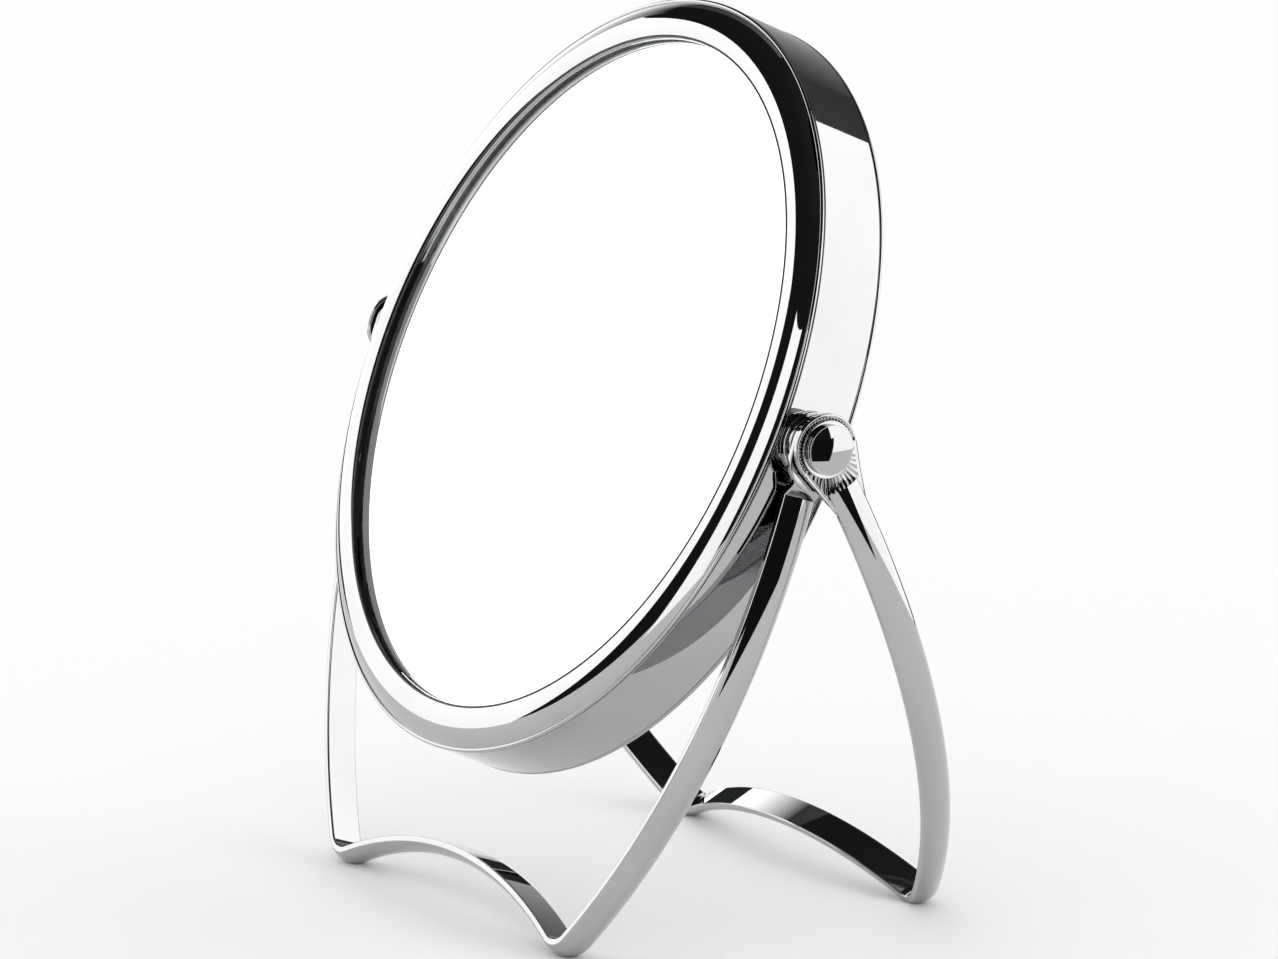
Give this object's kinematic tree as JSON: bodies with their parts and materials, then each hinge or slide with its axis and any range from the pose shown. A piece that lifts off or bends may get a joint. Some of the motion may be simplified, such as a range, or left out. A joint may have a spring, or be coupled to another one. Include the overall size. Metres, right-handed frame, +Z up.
{
  "type": "table mirror",
  "caption": "Folding table shaving mirror: round two-sided head in a polished chrome band, tilting between two hinged loops of half-oval bar that open into a stand.",
  "frame": {"origin": "on the table top, midway between the foremost and rearmost points, centred between the pivots", "axes": "+X along the pivot axis towards the user's right when facing the plain glass, -Y towards the user, +Z up"},
  "size_m": [0.189, 0.0981, 0.1918],
  "materials": {
    "chrome": "polished",
    "mirror": "polished",
    "backing": "matte",
    "core": "matte",
    "brass": "machined",
    "steel": "zinc plated",
    "nylon": "matte"
  },
  "bodies": {
    "front_stand": {"front_leg": "chrome", "ear_washer_left": "nylon", "ear_washer_right": "nylon"},
    "rear_stand": {"rear_leg": "chrome"},
    "head": {"drum_band": "chrome", "front_bezel": "chrome", "rear_bezel": "chrome", "front_glass": "mirror", "rear_glass": "mirror", "front_pad": "backing", "rear_pad": "backing", "core_frame": "core", "nut_block_left": "brass", "nut_block_right": "brass", "block_screws": "steel", "pivot_screw_left": "chrome", "pivot_screw_right": "chrome", "collar_left": "chrome", "collar_right": "chrome", "head_washer_left": "chrome", "head_washer_right": "chrome"}
  },
  "joints": [
    {"name": "head_tilt", "type": "hinge", "parent": "front_stand", "child": "head", "pos_m": [0, -0.00636, 0.11099], "axis": [1, 0, 0], "continuous": true},
    {"name": "leg_fold", "type": "hinge", "parent": "front_stand", "child": "rear_stand", "pos_m": [0, -0.00636, 0.11099], "axis": [1, 0, 0], "range_deg": [-44, 30]}
  ]
}
